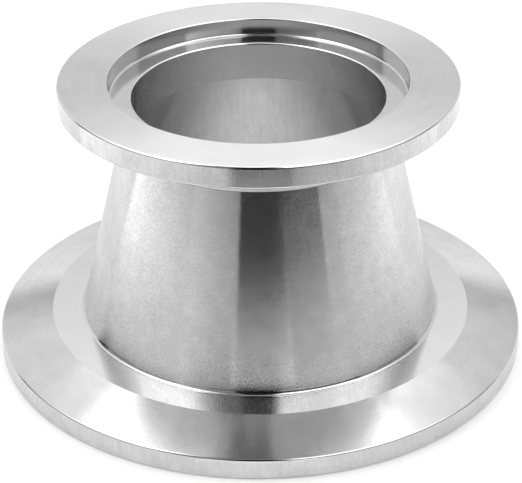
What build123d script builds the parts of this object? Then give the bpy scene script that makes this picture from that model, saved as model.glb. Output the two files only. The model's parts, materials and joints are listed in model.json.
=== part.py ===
from build123d import *
import os
from math import radians, tan

# A conical reducer between two clamped vacuum tube sizes, in millimetres.
# It stands on its large flange. The axis of the bore is Z, and the large
# sealing face lies at height zero.

# Whole reducer, from sealing face to sealing face
overall_length = 40.0

# Large flange and the tube size that it carries
large_rim_diameter = 75.0
large_recess_diameter = 52.2
large_tube_diameter = 50.8
large_ledge_width = 4.6
large_land_height = 0.4

# Small flange and the tube size that it carries
small_rim_diameter = 55.0
small_recess_diameter = 41.2
small_tube_diameter = 38.1
small_ledge_width = 0.95
small_stub_length = 3.0

# Shared by both flanges
rim_thickness = 3.0
clamp_bevel_angle = 15.0
recess_depth = 2.5
tube_wall = 1.65

# Broken edges and inside corners
rim_edge_radius = 0.3
recess_mouth_radius = 0.2
recess_corner_radius = 0.35
bore_mouth_radius = 0.25
root_fillet_radius = 0.4
joint_edge_radius = 0.12

# Radii that follow from the sizes above
large_tube_radius = large_tube_diameter / 2
small_tube_radius = small_tube_diameter / 2
large_hub_radius = large_tube_radius + large_ledge_width
small_hub_radius = small_tube_radius + small_ledge_width


def hub_height(rim_radius, hub_radius):
    """Height of a flange's ledge above its sealing face, at the top of its clamp bevel."""
    return rim_thickness + (rim_radius - hub_radius) * tan(radians(clamp_bevel_angle))


large_hub_height = hub_height(large_rim_diameter / 2, large_hub_radius)
small_hub_height = hub_height(small_rim_diameter / 2, small_hub_radius)

# The cone runs from one joint to the other, and both ends take the tube sizes
large_joint_height = large_hub_height + large_land_height
small_joint_height = overall_length - small_hub_height - small_stub_length
cone_length = small_joint_height - large_joint_height
cone_slope = (large_tube_radius - small_tube_radius) / cone_length

# The raised land on the large flange carries the cone's side on down to the ledge
large_land_root_radius = large_tube_radius + large_land_height * cone_slope


def turned(corners, rounding):
    """A solid turned about Z from corners given as radius and height, each with its rounding."""
    with BuildPart() as piece:
        with BuildSketch(Plane.XZ):
            with BuildLine():
                FilletPolyline(*corners, radius=rounding, close=True)
            make_face()
        revolve(axis=Axis.Z)
    return piece.part


def turned_flange(rim_radius, recess_radius, tube_radius, hub_radius, collar_root_radius, collar_height):
    """A clamp flange lying on its sealing face, with a collar of the tube size standing on its ledge."""
    bore_radius = tube_radius - tube_wall
    ledge_height = hub_height(rim_radius, hub_radius)
    collar_top = ledge_height + collar_height
    outline = [
        ((bore_radius, recess_depth), bore_mouth_radius),
        ((recess_radius, recess_depth), recess_corner_radius),
        ((recess_radius, 0), recess_mouth_radius),
        ((rim_radius, 0), rim_edge_radius),
        ((rim_radius, rim_thickness), rim_edge_radius),
        ((hub_radius, ledge_height), 0),
        ((collar_root_radius, ledge_height), root_fillet_radius),
        ((tube_radius, collar_top), 0),
        ((bore_radius, collar_top), 0),
    ]
    corners = [corner for corner, rounding in outline]
    roundings = [rounding for corner, rounding in outline]
    return turned(corners, roundings)


# Large flange: rim, clamp bevel, ledge, and the low land that the cone stands on
large_flange = turned_flange(
    rim_radius=large_rim_diameter / 2,
    recess_radius=large_recess_diameter / 2,
    tube_radius=large_tube_radius,
    hub_radius=large_hub_radius,
    collar_root_radius=large_land_root_radius,
    collar_height=large_land_height,
)

# Small flange: the same form turned over, with a short straight stub for the cone
small_flange = Pos(0, 0, overall_length) * Rot(180, 0, 0) * turned_flange(
    rim_radius=small_rim_diameter / 2,
    recess_radius=small_recess_diameter / 2,
    tube_radius=small_tube_radius,
    hub_radius=small_hub_radius,
    collar_root_radius=small_tube_radius,
    collar_height=small_stub_length,
)

# Cone: formed sheet of even wall, flush inside, its outer edges broken at both joints
cone = turned(
    [
        (large_tube_radius - tube_wall, large_joint_height),
        (large_tube_radius, large_joint_height),
        (small_tube_radius, small_joint_height),
        (small_tube_radius - tube_wall, small_joint_height),
    ],
    [0, joint_edge_radius, joint_edge_radius, 0],
)

os.makedirs("parts", exist_ok=True)
for name, piece in {"large_flange": large_flange, "cone": cone, "small_flange": small_flange}.items():
    export_step(piece, "parts/" + name + ".step")
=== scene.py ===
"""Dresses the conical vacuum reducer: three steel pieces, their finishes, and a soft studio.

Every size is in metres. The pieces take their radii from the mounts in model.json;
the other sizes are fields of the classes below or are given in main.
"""

import json
import logging
from dataclasses import dataclass
from enum import Enum
from math import cos, pi, radians, sin, tan

import bmesh
import bpy
from mathutils import Matrix, Vector


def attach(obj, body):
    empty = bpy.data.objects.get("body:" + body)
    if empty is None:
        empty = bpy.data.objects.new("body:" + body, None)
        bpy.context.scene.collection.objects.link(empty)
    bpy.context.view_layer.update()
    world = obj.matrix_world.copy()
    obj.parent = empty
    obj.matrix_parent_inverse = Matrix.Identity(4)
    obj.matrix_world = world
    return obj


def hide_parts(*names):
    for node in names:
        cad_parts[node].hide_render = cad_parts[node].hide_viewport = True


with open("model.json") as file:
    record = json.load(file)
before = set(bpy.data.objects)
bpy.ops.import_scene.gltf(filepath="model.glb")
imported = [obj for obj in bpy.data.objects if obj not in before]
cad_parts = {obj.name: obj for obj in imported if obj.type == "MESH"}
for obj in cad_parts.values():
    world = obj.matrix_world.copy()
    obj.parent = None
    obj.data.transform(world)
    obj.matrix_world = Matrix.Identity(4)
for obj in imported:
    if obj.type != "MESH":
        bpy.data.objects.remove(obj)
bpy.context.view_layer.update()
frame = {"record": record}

MM = 0.001
NOISE_LOW, NOISE_HIGH = 0.3, 0.7  # nearly all of a noise texture's values lie between these
ACROSS_MARKS = 0.25  # a quarter turn from the tangent, as the tangent runs along the marks
FLOOR_SIDES = 96
CARD_STEPS = 32
PANEL_RISE_STEPS = 16
log = logging.getLogger("reducer")


class Zone(Enum):
    """The faces of a piece that are cut or rubbed in one go, and its broken edges, each with its finish."""

    SEALING = "faced_steel"
    RIM = "rim_steel"
    BEVEL = "bevel_steel"
    LEDGE = "ledge_steel"
    RECESS = "recess_steel"
    BORE = "bored_steel"
    OUTSIDE = "brushed_cone"
    INSIDE = "inner_cone"
    EDGE = "broken_edges"


@dataclass(frozen=True)
class Corner:
    """One corner of a turned outline.

    Args:
        radius: distance from the axis.
        height: distance above the large flange's sealing face.
        rounding: radius of the broken edge or inside corner there, 0 for a crisp one.
    """

    radius: float
    height: float
    rounding: float = 0.0


def mount_radius(name: str) -> float:
    """Radius of one of the record's round mounts.

    Args:
        name: the mount's name.

    Returns:
        The radius in metres.
    """
    entry = next(m for m in frame["record"]["mounts"] if m["name"] == name)
    return entry["dims"]["r_mm"] * MM


def on_broken_edge(corners: list[Corner], radius: float, height: float) -> bool:
    """Tells whether a point of an outline lies on the arc of one of its rounded corners.

    Args:
        corners: the outline's corners in order.
        radius: the point's distance from the axis.
        height: its height in the frame.

    Returns:
        True on an arc.
    """
    spots = [Vector((corner.radius, corner.height)) for corner in corners]
    point = Vector((radius, height))
    for index, corner in enumerate(corners):
        before = spots[index] - spots[index - 1]
        after = spots[(index + 1) % len(spots)] - spots[index]
        if (point - spots[index]).length < corner.rounding * tan(before.angle(after) / 2):
            return True
    return False


def link_piece(name: str, shape: bmesh.types.BMesh) -> bpy.types.Object:
    """Turns a finished bmesh into an object of the scene, and frees it.

    Args:
        name: name of the new object and its mesh.
        shape: the bmesh, in place.

    Returns:
        The object.
    """
    mesh = bpy.data.meshes.new(name)
    shape.to_mesh(mesh)
    shape.free()
    piece = bpy.data.objects.new(name, mesh)
    bpy.context.scene.collection.objects.link(piece)
    return piece


@dataclass
class Lathe:
    """Turns an outline about the Z axis into a closed mesh.

    Args:
        steps: facets round the full turn.
        arc_segments: facets along each rounded corner.
        crisp_angle: edges that turn by more than this stay sharp.
        face_weight: how strongly large faces set the shading, 100 for the most.
    """

    steps: int = 384
    arc_segments: int = 8
    crisp_angle: float = radians(12)
    face_weight: int = 100

    def lay_outline(self, shape: bmesh.types.BMesh, corners: list[Corner]) -> None:
        """Lays the outline in the XZ plane and rounds its corners.

        Args:
            shape: the empty bmesh that takes the outline.
            corners: the corners in order, round the section.
        """
        verts = [shape.verts.new((corner.radius, 0, corner.height)) for corner in corners]
        shape.faces.new(verts)
        turns = []
        for index, vert in enumerate(verts):
            before = vert.co - verts[index - 1].co
            after = verts[(index + 1) % len(verts)].co - vert.co
            turns.append(before.angle(after))
        for vert, corner, turn in zip(verts, corners, turns):
            if corner.rounding > 0:
                bmesh.ops.bevel(
                    shape, geom=[vert], offset=corner.rounding * tan(turn / 2), offset_type="OFFSET",
                    segments=self.arc_segments, profile=0.5, affect="VERTICES", material=-1,
                )

    def turn(self, name: str, corners: list[Corner]) -> bpy.types.Object:
        """Makes the closed ring that the outline sweeps in a full turn.

        Args:
            name: name of the new object.
            corners: the outline's corners in order.

        Returns:
            The mesh object, in place and linked to the scene.
        """
        shape = bmesh.new()
        self.lay_outline(shape, corners)
        bmesh.ops.delete(shape, geom=shape.faces[:], context="FACES_ONLY")
        bmesh.ops.spin(
            shape, geom=shape.verts[:] + shape.edges[:], cent=(0, 0, 0), axis=(0, 0, 1), dvec=(0, 0, 0),
            angle=2 * pi, steps=self.steps, use_merge=True, use_duplicate=False,
        )
        bmesh.ops.recalc_face_normals(shape, faces=shape.faces[:])
        piece = link_piece(name, shape)
        piece.data.shade_smooth()
        piece.data.set_sharp_from_angle(angle=self.crisp_angle)
        flat = piece.modifiers.new("flat_faces_stay_flat", "WEIGHTED_NORMAL")
        flat.mode = "FACE_AREA"
        flat.weight = self.face_weight
        flat.keep_sharp = True
        return piece


@dataclass
class ClampFlange:
    """A turned clamp flange, standing on its sealing face or hung from it on top of the cone.

    Args:
        name: name of the piece.
        node: the CAD node that it stands for.
        size: start of the names of its mounts in the record.
        ledge_width: flat step between the tube size and the clamp bevel.
        collar_height: height of the collar above the ledge.
        face_height: height of the sealing face.
        up: 1 where the flange rises from its sealing face, -1 where it hangs from it.
        collar_finish: the zone that the collar is finished with.
        collar_slope: how much the collar widens for each unit down towards the ledge.
        joint_rise: how much nearer the face the joint lies outside than inside, as in a bent sheet.
    """

    name: str
    node: str
    size: str
    ledge_width: float
    collar_height: float
    face_height: float
    up: int
    collar_finish: Zone = Zone.LEDGE
    collar_slope: float = 0.0
    joint_rise: float = 0.0
    rim_thickness: float = 3.0 * MM
    bevel_angle: float = radians(15)
    recess_depth: float = 2.5 * MM
    tube_wall: float = 1.65 * MM
    rim_edge: float = 0.3 * MM
    recess_mouth: float = 0.2 * MM
    recess_corner: float = 0.35 * MM
    bore_mouth: float = 0.25 * MM
    root_fillet: float = 0.4 * MM
    slot: str = "turned_steel"

    def __post_init__(self) -> None:
        """Reads the flange's radii from the record and works out what follows from them."""
        self.rim = mount_radius(self.size + "_rim")
        self.recess = mount_radius(self.size + "_recess")
        self.bore = mount_radius(self.size + "_bore")
        self.tube = self.bore + self.tube_wall
        self.hub = self.tube + self.ledge_width
        self.ledge = self.rim_thickness + (self.rim - self.hub) * tan(self.bevel_angle)
        self.joint_height = self.face_height + self.up * (self.ledge + self.collar_height)

    def corners(self) -> list[Corner]:
        """The flange's section, from the bore's mouth out over the face and back along the ledge."""
        root = self.tube + self.collar_height * self.collar_slope
        top = self.ledge + self.collar_height
        standing = [
            Corner(self.bore, self.recess_depth, self.bore_mouth),
            Corner(self.recess, self.recess_depth, self.recess_corner),
            Corner(self.recess, 0, self.recess_mouth),
            Corner(self.rim, 0, self.rim_edge),
            Corner(self.rim, self.rim_thickness, self.rim_edge),
            Corner(self.hub, self.ledge),
            Corner(root, self.ledge, self.root_fillet),
            Corner(self.tube, top - self.joint_rise),
            Corner(self.bore, top),
        ]
        return [Corner(c.radius, self.face_height + self.up * c.height, c.rounding) for c in standing]

    def zone(self, radius: float, height: float) -> Zone:
        """Which of the flange's faces a point of its section lies on.

        Args:
            radius: the point's distance from the axis.
            height: its height in the frame.

        Returns:
            The zone of that face.
        """
        depth = (height - self.face_height) * self.up
        if radius < self.bore + self.bore_mouth:
            return Zone.BORE
        if radius < self.recess + self.recess_mouth and depth < self.recess_depth + self.bore_mouth:
            return Zone.RECESS
        if depth < self.rim_edge / 2:
            return Zone.SEALING
        if depth < self.rim_thickness:
            return Zone.RIM
        if depth > self.ledge + self.root_fillet / 2:
            return self.collar_finish
        return Zone.BEVEL if radius > self.hub else Zone.LEDGE


@dataclass
class FormedCone:
    """The thin cone between the two flanges.

    Args:
        name: name of the piece.
        node: the CAD node that it stands for.
        foot: the flange that it stands on.
        head: the flange that it carries.
        edge: how far its outer edges are broken at the joints.
    """

    name: str
    node: str
    foot: ClampFlange
    head: ClampFlange
    edge: float = 0.12 * MM
    slot: str = "brushed_steel"

    def __post_init__(self) -> None:
        """Works out the slope of the side, which the foot's collar carries on."""
        rise = self.head.joint_height - self.foot.joint_height
        self.slope = (self.foot.tube - self.head.tube) / rise
        self.foot.collar_slope = self.slope

    def corners(self) -> list[Corner]:
        """The cone's section: even wall, flush inside, outer edges broken."""
        low, high = self.foot.joint_height, self.head.joint_height
        outer = high + self.head.joint_rise
        return [
            Corner(self.foot.bore, low),
            Corner(self.foot.tube, low, self.edge),
            Corner(self.head.tube, outer, self.edge),
            Corner(self.head.bore, high),
        ]

    def zone(self, radius: float, height: float) -> Zone:
        """Which of the cone's two sides a point of its section lies on.

        Args:
            radius: the point's distance from the axis.
            height: its height in the frame.

        Returns:
            The zone of that side.
        """
        middle = self.foot.tube - self.foot.tube_wall / 2 - (height - self.foot.joint_height) * self.slope
        return Zone.OUTSIDE if radius > middle else Zone.INSIDE


class NodeDesk:
    """Adds and wires the nodes of one shader tree."""

    def __init__(self, tree: bpy.types.NodeTree) -> None:
        """Takes the tree that the nodes go into.

        Args:
            tree: a material's, world's or group's node tree.
        """
        self.tree = tree

    def add(self, kind: str, settings: dict[str, object] | None = None, **inputs: object) -> bpy.types.Node:
        """Adds one node, sets it and feeds its inputs.

        Args:
            kind: the node's type, such as ShaderNodeMath.
            settings: the node's own settings by name.
            inputs: a socket to link or a value to set, by input name with underscores for spaces,
                or by in0, in1 and so on for an input's place.

        Returns:
            The new node.
        """
        node = self.tree.nodes.new(kind)
        for key, value in (settings or {}).items():
            setattr(node, key, value)
        for key, value in inputs.items():
            spot = int(key[2:]) if key[:2] == "in" and key[2:].isdigit() else key.replace("_", " ")
            if isinstance(value, bpy.types.NodeSocket):
                self.tree.links.new(value, node.inputs[spot])
            else:
                node.inputs[spot].default_value = value
        return node

    def math(self, operation: str, *values: object) -> bpy.types.NodeSocket:
        """A Math node on one to three numbers or sockets.

        Args:
            operation: the node's operation.
            values: its inputs in order.

        Returns:
            Its output.
        """
        inputs = {f"in{i}": value for i, value in enumerate(values)}
        return self.add("ShaderNodeMath", {"operation": operation}, **inputs).outputs[0]


def tool_marks_group() -> bpy.types.NodeTree:
    """The rings that a tool or a rubbing pad leaves round the axis, with grain and faint clouds between them.

    Returns:
        A group with the inputs Position, Pitch, Length, Grain Size, Grain Share and Cloud Size, and the
        outputs Height and Tone, both about 0.5 and different all over the surface.
    """
    group = bpy.data.node_groups.new("tool_marks", "ShaderNodeTree")
    group.interface.new_socket("Position", in_out="INPUT", socket_type="NodeSocketVector")
    for name in ("Pitch", "Length", "Grain Size", "Grain Share", "Cloud Size"):
        group.interface.new_socket(name, in_out="INPUT", socket_type="NodeSocketFloat")
    for name in ("Height", "Tone"):
        group.interface.new_socket(name, in_out="OUTPUT", socket_type="NodeSocketFloat")
    desk = NodeDesk(group)
    given = desk.add("NodeGroupInput").outputs
    place = desk.add("ShaderNodeSeparateXYZ", Vector=given["Position"]).outputs
    flat = desk.add("ShaderNodeCombineXYZ", X=place["X"], Y=place["Y"]).outputs[0]
    radius = desk.add("ShaderNodeVectorMath", {"operation": "LENGTH"}, in0=flat).outputs["Value"]
    around = desk.add("ShaderNodeVectorMath", {"operation": "NORMALIZE"}, in0=flat).outputs["Vector"]
    along = desk.math("ADD", radius, place["Z"])
    across_marks = desk.math("DIVIDE", along, given["Pitch"])
    round_marks = desk.add("ShaderNodeVectorMath", {"operation": "SCALE"}, in0=around, Scale=given["Length"])
    turn = desk.add("ShaderNodeSeparateXYZ", Vector=round_marks.outputs["Vector"]).outputs
    marks = desk.add("ShaderNodeCombineXYZ", X=across_marks, Y=turn["X"], Z=turn["Y"]).outputs[0]
    rings = desk.add("ShaderNodeTexNoise", Vector=marks, Scale=1.0, Detail=2.0, Roughness=0.5).outputs["Fac"]
    grain = desk.add(
        "ShaderNodeTexNoise", Vector=given["Position"], Scale=desk.math("DIVIDE", 1.0, given["Grain Size"]),
        Detail=1.0, Roughness=0.5,
    ).outputs["Fac"]
    clouds = desk.add(
        "ShaderNodeTexNoise", Vector=given["Position"], Scale=desk.math("DIVIDE", 1.0, given["Cloud Size"]),
        Detail=3.0, Roughness=0.55,
    ).outputs["Fac"]
    ring_share = desk.math("SUBTRACT", 1.0, given["Grain Share"])
    height = desk.math("MULTIPLY_ADD", grain, given["Grain Share"], desk.math("MULTIPLY", rings, ring_share))
    tone = desk.math("MULTIPLY_ADD", clouds, 0.5, desk.math("MULTIPLY", height, 0.5))
    desk.add("NodeGroupOutput", Height=height, Tone=tone)
    return group


@dataclass(frozen=True)
class SteelFinish:
    """One finish of bare stainless steel, cut or rubbed in rings round the axis.

    Args:
        zone: the faces that have it.
        grey: how much light the bare metal sends back.
        rough: middle roughness.
        spread: how much the marks change the roughness, each way.
        stretch: how far reflections are drawn out across the marks, 0 to 1.
        pitch: distance between marks.
        length: how many marks follow each other round a radian.
        grain: size of the grain between the marks.
        grainy: share of the grain in the relief, where the rest is marks.
        cloud: size of the faint patches in the finish.
        relief: height of the marks and grain.
        tint: how much the marks change the grey, each way.
        foot_rough: how much rougher the finish is at height 0.
        foot_height: height where that extra roughness has faded out.
    """

    zone: Zone
    grey: float
    rough: float
    spread: float
    stretch: float
    pitch: float
    length: float
    grain: float
    grainy: float
    cloud: float
    relief: float
    tint: float
    foot_rough: float = 0.0
    foot_height: float = 24 * MM

    def build(self, marks: bpy.types.NodeTree) -> bpy.types.Material:
        """Makes the material.

        Args:
            marks: the tool marks group.

        Returns:
            The material, named after the zone.
        """
        material = bpy.data.materials.new(self.zone.value)
        material.use_nodes = True
        desk = NodeDesk(material.node_tree)
        steel = desk.tree.nodes["Principled BSDF"]
        place = desk.add("ShaderNodeTexCoord").outputs["Object"]
        rings = desk.add(
            "ShaderNodeGroup", {"node_tree": marks}, Position=place, Pitch=self.pitch, Length=self.length,
            Grain_Size=self.grain, Grain_Share=self.grainy, Cloud_Size=self.cloud,
        ).outputs
        rough = desk.add(
            "ShaderNodeMapRange", Value=rings["Height"], From_Min=NOISE_LOW, From_Max=NOISE_HIGH,
            To_Min=self.rough - self.spread, To_Max=self.rough + self.spread,
        ).outputs["Result"]
        if self.foot_rough > 0:
            height = desk.add("ShaderNodeSeparateXYZ", Vector=place).outputs["Z"]
            extra = desk.add(
                "ShaderNodeMapRange", Value=height, From_Max=self.foot_height,
                To_Min=self.foot_rough, To_Max=0.0,
            ).outputs["Result"]
            rough = desk.math("ADD", rough, extra)
        grey = desk.add(
            "ShaderNodeMapRange", Value=rings["Tone"], From_Min=NOISE_LOW, From_Max=NOISE_HIGH,
            To_Min=self.grey + self.tint, To_Max=self.grey - self.tint,
        ).outputs["Result"]
        colour = desk.add("ShaderNodeCombineColor", Red=grey, Green=grey, Blue=grey).outputs["Color"]
        bump = desk.add("ShaderNodeBump", Height=rings["Height"], Distance=self.relief, Strength=1.0)
        turn = desk.add("ShaderNodeVectorMath", {"operation": "CROSS_PRODUCT"}, in0=(0, 0, 1), in1=place)
        links = desk.tree.links
        links.new(colour, steel.inputs["Base Color"])
        links.new(rough, steel.inputs["Roughness"])
        links.new(bump.outputs["Normal"], steel.inputs["Normal"])
        links.new(turn.outputs["Vector"], steel.inputs["Tangent"])
        steel.inputs["Metallic"].default_value = 1.0
        steel.inputs["Anisotropic"].default_value = self.stretch
        steel.inputs["Anisotropic Rotation"].default_value = ACROSS_MARKS
        return material


FINISHES = (
    SteelFinish(
        Zone.SEALING, grey=0.60, rough=0.25, spread=0.025, stretch=0.85, pitch=0.20 * MM, length=1.5,
        grain=0.30 * MM, grainy=0.3, cloud=6 * MM, relief=0.0016 * MM, tint=0.045,
    ),
    SteelFinish(
        Zone.RIM, grey=0.60, rough=0.25, spread=0.03, stretch=0.85, pitch=2.5 * MM, length=80.0,
        grain=0.28 * MM, grainy=0.5, cloud=3 * MM, relief=0.0100 * MM, tint=0.080,
    ),
    SteelFinish(
        Zone.BEVEL, grey=0.60, rough=0.14, spread=0.02, stretch=0.95, pitch=0.22 * MM, length=1.5,
        grain=0.32 * MM, grainy=0.7, cloud=4 * MM, relief=0.0030 * MM, tint=0.060,
    ),
    SteelFinish(
        Zone.LEDGE, grey=0.66, rough=0.09, spread=0.008, stretch=0.95, pitch=0.22 * MM, length=1.5,
        grain=0.40 * MM, grainy=0.7, cloud=4 * MM, relief=0.0005 * MM, tint=0.030,
    ),
    SteelFinish(
        Zone.RECESS, grey=0.60, rough=0.12, spread=0.012, stretch=0.95, pitch=0.22 * MM, length=1.5,
        grain=0.40 * MM, grainy=0.7, cloud=4 * MM, relief=0.0020 * MM, tint=0.040,
    ),
    SteelFinish(
        Zone.BORE, grey=0.66, rough=0.25, spread=0.03, stretch=0.90, pitch=1.5 * MM, length=40.0,
        grain=0.25 * MM, grainy=0.5, cloud=4 * MM, relief=0.0060 * MM, tint=0.050,
    ),
    SteelFinish(
        Zone.OUTSIDE, grey=0.62, rough=0.17, spread=0.03, stretch=1.00, pitch=0.20 * MM, length=10.0,
        grain=0.28 * MM, grainy=0.75, cloud=2 * MM, relief=0.0060 * MM, tint=0.060, foot_rough=0.14,
    ),
    SteelFinish(
        Zone.INSIDE, grey=0.58, rough=0.24, spread=0.03, stretch=0.90, pitch=2.0 * MM, length=30.0,
        grain=0.25 * MM, grainy=0.5, cloud=3 * MM, relief=0.0070 * MM, tint=0.050,
    ),
    SteelFinish(
        Zone.EDGE, grey=0.62, rough=0.12, spread=0.02, stretch=0.60, pitch=0.20 * MM, length=2.0,
        grain=0.35 * MM, grainy=0.5, cloud=4 * MM, relief=0.0003 * MM, tint=0.015,
    ),
)


def dress(
    piece: bpy.types.Object, maker: ClampFlange | FormedCone, materials: dict[Zone, bpy.types.Material]
) -> None:
    """Gives each face of a piece the finish of its zone, with the finishes in the same order each run.

    Args:
        piece: the turned mesh.
        maker: the flange or cone that says which zone a face is in.
        materials: the finished materials by zone.
    """
    corners = maker.corners()
    zones = []
    for face in piece.data.polygons:
        height = face.center.z
        radius = face.center.xy.length
        broken = on_broken_edge(corners, radius, height)
        zones.append(Zone.EDGE if broken else maker.zone(radius, height))
    present = set(zones)
    slots = [zone for zone in Zone if zone in present]
    for zone in slots:
        piece.data.materials.append(materials[zone])
    for face, zone in zip(piece.data.polygons, zones):
        face.material_index = slots.index(zone)


class Fade(Enum):
    """Which way a stage card's brightness changes, besides from its left to its right edge."""

    UP = "from its lower to its upper edge"
    OUT = "from its inner to its outer edge"


@dataclass(frozen=True)
class Glow:
    """How bright a stage card is, in photographic stops over a white wall, each one twice as bright.

    Args:
        start: stops at its lower or inner edge.
        end: stops at its upper or outer edge.
        left: share of that brightness at its left edge.
        right: share of it at its right edge.
    """

    start: float
    end: float
    left: float = 1.0
    right: float = 1.0

    def build(
        self, name: str, fade: Fade, span: tuple[float, float], sides: tuple[float, float]
    ) -> bpy.types.Material:
        """Makes the card's material.

        Args:
            name: name of the material.
            fade: which way the card's brightness changes.
            span: height or radius of the edges where it starts and ends.
            sides: the card's left and right edges in radians.

        Returns:
            The material.
        """
        material = bpy.data.materials.new(name)
        material.use_nodes = True
        desk = NodeDesk(material.node_tree)
        desk.tree.nodes.remove(desk.tree.nodes["Principled BSDF"])
        place = desk.add("ShaderNodeTexCoord").outputs["Object"]
        spot = desk.add("ShaderNodeSeparateXYZ", Vector=place).outputs
        way = spot["Z"]
        if fade is Fade.OUT:
            way = desk.add("ShaderNodeVectorMath", {"operation": "LENGTH"}, in0=place).outputs["Value"]
        light = desk.add(
            "ShaderNodeMapRange", Value=way, From_Min=span[0], From_Max=span[1],
            To_Min=2 ** self.start, To_Max=2 ** self.end,
        ).outputs["Result"]
        if self.left != self.right:
            turn = desk.math("ARCTAN2", spot["X"], desk.math("MULTIPLY", spot["Y"], -1.0))
            share = desk.add(
                "ShaderNodeMapRange", Value=turn, From_Min=sides[0], From_Max=sides[1],
                To_Min=self.left, To_Max=self.right,
            ).outputs["Result"]
            light = desk.math("MULTIPLY", light, share)
        lamp = desk.add("ShaderNodeEmission", Strength=light)
        desk.tree.links.new(lamp.outputs[0], desk.tree.nodes["Material Output"].inputs["Surface"])
        return material


def sweep_round(shape: bmesh.types.BMesh, sides: tuple[float, float]) -> None:
    """Sweeps an outline on the camera's side about Z, between two azimuths.

    Args:
        shape: the bmesh that holds the outline.
        sides: left and right edges in radians, positive to the right.
    """
    left, right = sides
    bmesh.ops.rotate(shape, verts=shape.verts[:], cent=(0, 0, 0), matrix=Matrix.Rotation(left, 3, "Z"))
    bmesh.ops.spin(
        shape, geom=shape.verts[:] + shape.edges[:], cent=(0, 0, 0), axis=(0, 0, 1), dvec=(0, 0, 0),
        angle=right - left, steps=CARD_STEPS, use_merge=False, use_duplicate=False,
    )


@dataclass(frozen=True)
class Panel:
    """A curved studio panel that stands round the object and isn't in the picture itself.

    Args:
        name: name of the panel.
        azimuth: its left and right edges in degrees, from the camera's side, positive to the right.
        elevation: its lower and upper edges in degrees above the floor's centre.
        glow: how bright it is.
        distance: how far it stands from the object's axis.
    """

    name: str
    azimuth: tuple[float, float]
    elevation: tuple[float, float]
    glow: Glow
    distance: float = 600 * MM

    def build(self) -> None:
        """Makes the panel and hides it from the camera and from shadows."""
        low, high = (radians(e) for e in self.elevation)
        sides = (radians(self.azimuth[0]), radians(self.azimuth[1]))
        shape = bmesh.new()
        shape.verts.new((0, -self.distance, 0))
        bmesh.ops.rotate(shape, verts=shape.verts[:], cent=(0, 0, 0), matrix=Matrix.Rotation(-low, 3, "X"))
        bmesh.ops.spin(
            shape, geom=shape.verts[:], cent=(0, 0, 0), axis=(1, 0, 0), dvec=(0, 0, 0), angle=low - high,
            steps=PANEL_RISE_STEPS, use_merge=False, use_duplicate=False,
        )
        sweep_round(shape, sides)
        panel = link_piece(self.name, shape)
        span = (self.distance * sin(low), self.distance * sin(high))
        panel.data.materials.append(self.glow.build(self.name, Fade.UP, span, sides))
        panel.visible_camera = False
        panel.visible_shadow = False


@dataclass(frozen=True)
class FloorCard:
    """A sheet on the floor outside the picture, which only shows in the object's reflections.

    Args:
        name: name of the card.
        azimuth: its left and right edges in degrees, from the camera's side, positive to the right.
        reach: its inner and outer edges, as distances from the object's axis.
        glow: how bright it is.
        height: how high it lies above the floor.
    """

    name: str
    azimuth: tuple[float, float]
    reach: tuple[float, float]
    glow: Glow
    height: float = 0.1 * MM

    def build(self) -> None:
        """Makes the card and hides it from the camera, from diffuse light and from shadows."""
        sides = (radians(self.azimuth[0]), radians(self.azimuth[1]))
        shape = bmesh.new()
        ends = [shape.verts.new((0, -radius, self.height)) for radius in self.reach]
        shape.edges.new(ends)
        sweep_round(shape, sides)
        card = link_piece(self.name, shape)
        card.data.materials.append(self.glow.build(self.name, Fade.OUT, self.reach, sides))
        card.visible_camera = False
        card.visible_diffuse = False
        card.visible_shadow = False


DARK_CLOTH = Glow(-6, -6)


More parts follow.
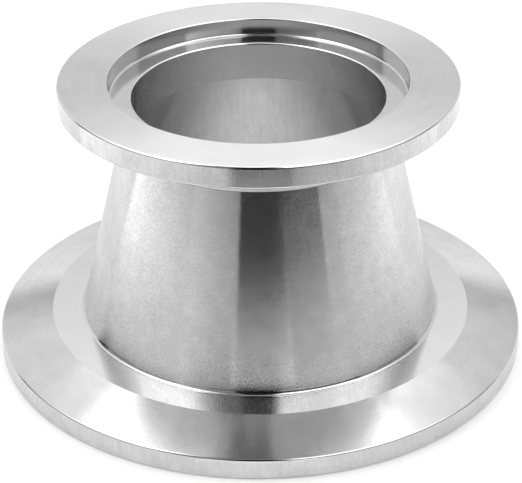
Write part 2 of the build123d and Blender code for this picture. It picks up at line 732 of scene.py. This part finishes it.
@dataclass
class Studio:
    """The pale floor, the lit panels that stand round it and the cards that lie on it.

    Args:
        floor_radius: radius of the round floor, which ends where the panels stand.
        floor_grey: how pale the floor is.
        floor_tooth: how much the floor's grey changes, each way.
        floor_glow: how much the floor is lit from below.
        paper_pitch: size of the paper's tooth.
        paper_rough: roughness of the paper.
        paper_gloss: strength of its weak gloss.
        painted_light_radius: radius of a glowing sheet on the floor inside the large bore, a painted pool of
            light.
        painted_light_height: how high that sheet lies above the floor.
        painted_light_reach: distance from the axis where the painted light has faded out.
        painted_light_glow: how strongly the sheet glows in its middle, a painted pool of light with no lamp
            below it.
        backdrop: brightness of what lies behind everything in the picture.
        dusk: brightness of the room wherever no panel stands.
        panels: the lit panels round the object.
        cards: the sheets on the floor round the picture.
    """

    floor_radius: float = 600 * MM
    floor_grey: float = 0.86
    floor_tooth: float = 0.01
    floor_glow: float = 0.16
    paper_pitch: float = 1 / 900
    paper_rough: float = 0.9
    paper_gloss: float = 0.1
    # The next four fields make a glowing sheet on the floor under the large bore: a painted pool of light,
    # brightest at the axis, that lights the cone's inside.
    painted_light_radius: float = 23.7 * MM
    painted_light_height: float = 0.02 * MM
    painted_light_reach: float = 20 * MM
    painted_light_glow: float = 0.80
    backdrop: float = 1.0
    dusk: float = 0.01
    panels: tuple[Panel, ...] = (
        Panel("left_wall", (-105, -50), (0, 25), Glow(-1.5, -1.5)),
        Panel("left_front_wall", (-50, -14), (0, 25), Glow(-1, -0.5, right=0.3)),
        Panel("left_skirt", (-115, -50), (25, 50), Glow(-2, 1.5)),
        Panel("left_softbox", (-115, -50), (50, 75), Glow(2, 1.5)),
        Panel("left_front_screen", (-50, -14), (25, 75), Glow(-1.5, -1.5, right=0.7)),
        Panel("right_front_skirt", (14, 60), (15, 35), Glow(-0.5, 0.5, left=0.2)),
        Panel("right_front_softbox", (14, 60), (35, 75), Glow(1.5, 1)),
        Panel("right_wall", (60, 110), (0, 30), Glow(-2, -1)),
        Panel("right_skirt", (60, 110), (30, 50), Glow(-2, 1.5)),
        Panel("right_softbox", (60, 110), (50, 75), Glow(2, -1)),
        Panel("right_back_screen", (110, 150), (18, 58), Glow(-0.5, 0)),
        Panel("right_back_softbox", (110, 150), (58, 75), Glow(1.5, 1)),
        Panel("back_wall", (110, 245), (0, 18), Glow(-0.5, 0.5)),
        Panel("back_screen", (150, 210), (18, 42), Glow(-1, 0.5)),
        Panel("back_softbox", (150, 210), (42, 75), Glow(1.5, 1.5)),
        Panel("left_back_screen", (210, 245), (18, 52), Glow(0, 0)),
        Panel("left_back_softbox", (210, 245), (52, 75), Glow(1, 1.5)),
        Panel("ceiling", (0, 360), (75, 90), Glow(-3, -1)),
    )
    cards: tuple[FloorCard, ...] = (
        FloorCard("near_floor", (16, 346), (46 * MM, 92 * MM), Glow(0, 0)),
        FloorCard("front_floor", (-14, 16), (46 * MM, 85 * MM), Glow(1.5, -1.5)),
        FloorCard("front_cloth", (-14, 16), (85 * MM, 600 * MM), DARK_CLOTH),
        FloorCard("left_floor", (-105, -14), (92 * MM, 600 * MM), Glow(1, 0, right=0.4)),
        FloorCard("right_floor", (16, 105), (92 * MM, 220 * MM), Glow(1, 0, left=0.2)),
        FloorCard("right_cloth", (16, 45), (220 * MM, 600 * MM), DARK_CLOTH),
        FloorCard("right_far_floor", (45, 105), (220 * MM, 600 * MM), Glow(0, 0)),
        FloorCard("back_floor", (105, 255), (92 * MM, 600 * MM), Glow(0.5, -2)),
    )

    def paper(self, name: str, glow: float, reach: float | None = None) -> bpy.types.Material:
        """White paper with a faint tooth, so that it isn't one flat tone.

        Args:
            name: name of the material.
            glow: how strongly the paper glows, evenly on the floor and as a painted pool of light on the spot
                under the bore.
            reach: distance from the axis where that painted light has faded out, or None for an even glow.

        Returns:
            The material.
        """
        material = bpy.data.materials.new(name)
        material.use_nodes = True
        desk = NodeDesk(material.node_tree)
        place = desk.add("ShaderNodeTexCoord").outputs["Object"]
        tooth = desk.add(
            "ShaderNodeTexNoise", Vector=place, Scale=1 / self.paper_pitch, Detail=2.0
        ).outputs["Fac"]
        dark, pale = self.floor_grey - self.floor_tooth, self.floor_grey + self.floor_tooth
        grey = desk.add("ShaderNodeMapRange", Value=tooth, To_Min=dark, To_Max=pale).outputs["Result"]
        colour = desk.add("ShaderNodeCombineColor", Red=grey, Green=grey, Blue=grey).outputs["Color"]
        sheet = desk.tree.nodes["Principled BSDF"]
        desk.tree.links.new(colour, sheet.inputs["Base Color"])
        sheet.inputs["Roughness"].default_value = self.paper_rough
        sheet.inputs["Specular IOR Level"].default_value = self.paper_gloss
        sheet.inputs["Emission Color"].default_value = (1, 1, 1, 1)
        sheet.inputs["Emission Strength"].default_value = glow
        # On the spot under the bore the glow fades out with distance from the axis: a painted pool of light.
        if reach is not None:
            away = desk.add("ShaderNodeVectorMath", {"operation": "LENGTH"}, in0=place).outputs["Value"]
            fade = desk.add(
                "ShaderNodeMapRange", {"interpolation_type": "SMOOTHSTEP"}, Value=away, From_Max=reach,
                To_Min=1.0, To_Max=0.0,
            ).outputs["Result"]
            light = desk.add("ShaderNodeCombineColor", Red=fade, Green=fade, Blue=fade).outputs["Color"]
            desk.tree.links.new(light, sheet.inputs["Emission Color"])
        return material

    def lay_floor(self) -> None:
        """Makes the pale floor and, under the large bore, a glowing sheet on it that is a painted pool of
        light for the cone's inside.
        """
        shape = bmesh.new()
        bmesh.ops.create_circle(shape, cap_ends=True, segments=FLOOR_SIDES, radius=self.floor_radius)
        floor = link_piece("floor", shape)
        floor.data.materials.append(self.paper("pale_floor", self.floor_glow))
        # Painted light: a glowing sheet on the floor under the large bore, brightest at the axis and fading
        # outwards, a painted pool of light for the cone's inside.
        shape = bmesh.new()
        bmesh.ops.create_circle(shape, cap_ends=True, segments=FLOOR_SIDES, radius=self.painted_light_radius)
        bmesh.ops.translate(shape, verts=shape.verts[:], vec=(0, 0, self.painted_light_height))
        spot = link_piece("painted_light_spot", shape)
        spot.data.materials.append(self.paper("painted_light_floor", self.painted_light_glow, self.painted_light_reach))

    def darken_room(self) -> None:
        """Makes the room: white where the camera sees it, dim in every reflection."""
        world = bpy.data.worlds.new("room")
        world.use_nodes = True
        world.cycles.sampling_method = "NONE"
        bpy.context.scene.world = world
        desk = NodeDesk(world.node_tree)
        seen = desk.add("ShaderNodeLightPath").outputs["Is Camera Ray"]
        bright = desk.add("ShaderNodeMapRange", Value=seen, To_Min=self.dusk, To_Max=self.backdrop)
        background = desk.tree.nodes["Background"]
        background.inputs["Color"].default_value = (1, 1, 1, 1)
        desk.tree.links.new(bright.outputs["Result"], background.inputs["Strength"])

    def build(self) -> None:
        """Makes the floor, the room, every panel and card, and shows the picture without a film look."""
        self.lay_floor()
        self.darken_room()
        for card in self.panels + self.cards:
            card.build()
            log.info("stage: %s", card.name)
        bpy.context.scene.view_settings.view_transform = "Standard"


@dataclass
class PhotoCamera:
    """The photograph's viewpoint, fitted to the object's circles.

    Args:
        aim_height: height on the axis that the distance is measured to.
        distance: from that height back to the camera, along its line of sight.
        elevation: how far the line of sight dips.
        across: the camera's place to the right of the axis.
        lift: the camera's place up or down, square to its line of sight.
        roll: turn about the line of sight.
        focal_pixels: focal length in pixels of the photograph.
        frame_width: width of the photograph in pixels.
        sensor: width of the camera's sensor in millimetres.
    """

    aim_height: float = 20 * MM
    distance: float = 259.31 * MM
    elevation: float = radians(29.172)
    across: float = 0.19 * MM
    lift: float = -5.013 * MM
    roll: float = radians(-0.404)
    focal_pixels: float = 1831.8
    frame_width: float = 522
    sensor: float = 36

    def build(self) -> None:
        """Makes the camera and gives it to the scene."""
        data = bpy.data.cameras.new("photo_camera")
        data.sensor_width = self.sensor
        data.lens = self.focal_pixels * self.sensor / self.frame_width
        data.clip_start = 1 * MM
        camera = bpy.data.objects.new("photo_camera", data)
        bpy.context.scene.collection.objects.link(camera)
        back = Vector((0, -cos(self.elevation), sin(self.elevation)))
        up = Vector((0, sin(self.elevation), cos(self.elevation)))
        place = Vector((self.across, 0, self.aim_height)) + back * self.distance + up * self.lift
        tilt = Matrix.Rotation(pi / 2 - self.elevation, 4, "X")
        camera.matrix_world = Matrix.Translation(place) @ tilt @ Matrix.Rotation(self.roll, 4, "Z")
        bpy.context.scene.camera = camera


def main() -> None:
    """Builds the flanges and the cone, dresses them, then sets up the studio and the camera."""
    logging.basicConfig(level=logging.INFO, format="%(message)s")
    large = ClampFlange(
        "large_flange_turned", "large_flange", "large", ledge_width=4.6 * MM, collar_height=0.4 * MM,
        face_height=0 * MM, up=1,
    )
    small = ClampFlange(
        "small_flange_turned", "small_flange", "small", ledge_width=0.95 * MM, collar_height=3.0 * MM,
        face_height=40 * MM, up=-1, collar_finish=Zone.OUTSIDE, joint_rise=0.25 * MM,
    )
    cone = FormedCone("cone_formed", "cone", foot=large, head=small)
    marks = tool_marks_group()
    materials = {finish.zone: finish.build(marks) for finish in FINISHES}
    lathe = Lathe()
    for maker in (large, cone, small):
        piece = lathe.turn(maker.name, maker.corners())
        dress(piece, maker, materials)
        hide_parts(maker.node)
        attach(piece, "root")
        faces, finishes = len(piece.data.polygons), len(piece.data.materials)
        log.info("%s: %d faces in %d finishes", piece.name, faces, finishes)
    Studio().build()
    PhotoCamera().build()


if __name__ == "__main__":
    main()
